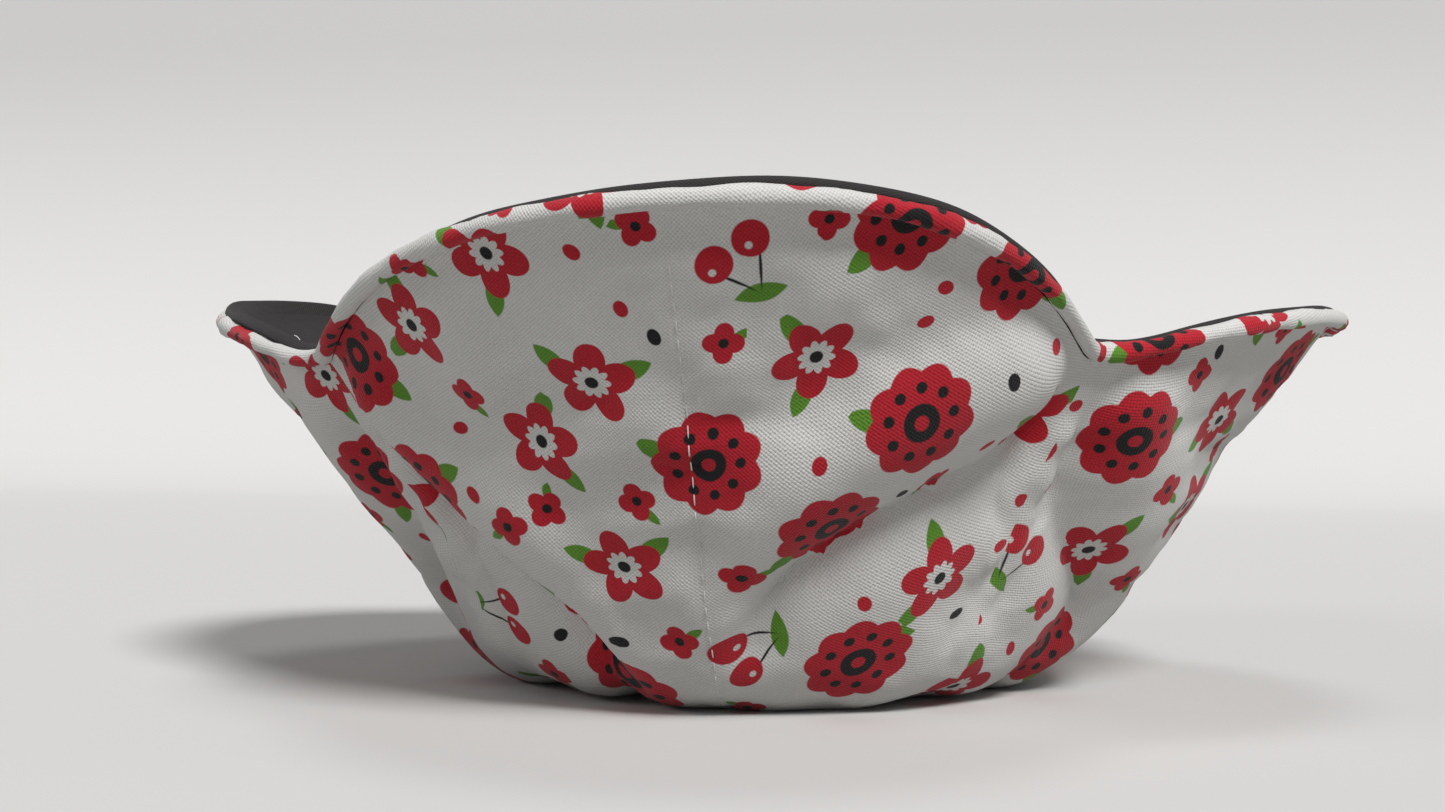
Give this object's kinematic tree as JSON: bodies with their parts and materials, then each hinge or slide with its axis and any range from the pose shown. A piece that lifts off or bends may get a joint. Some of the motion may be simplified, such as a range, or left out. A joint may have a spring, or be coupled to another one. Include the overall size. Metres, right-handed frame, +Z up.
{
  "type": "microwave bowl cozy",
  "caption": "A soft quilted cloth cozy that holds a hot bowl: printed cotton outside, dark cotton lining, batting between, darted into lobes with a rolled, topstitched rim.",
  "frame": {"origin": "middle of the bounding box in X and Y, at the level of the base that it stands on", "axes": "+Z up out of the bowl; -Y towards the lobe that faces the picture's camera, +X towards the lobe on the picture's right"},
  "size_m": [0.221, 0.229, 0.0815],
  "materials": {
    "printed_cotton": "matte",
    "batting": "matte",
    "lining_cotton": "matte"
  },
  "bodies": {
    "root": {"outer_cover": "printed_cotton", "outer_batting": "batting", "lining_batting": "batting", "lining": "lining_cotton"}
  },
  "joints": []
}
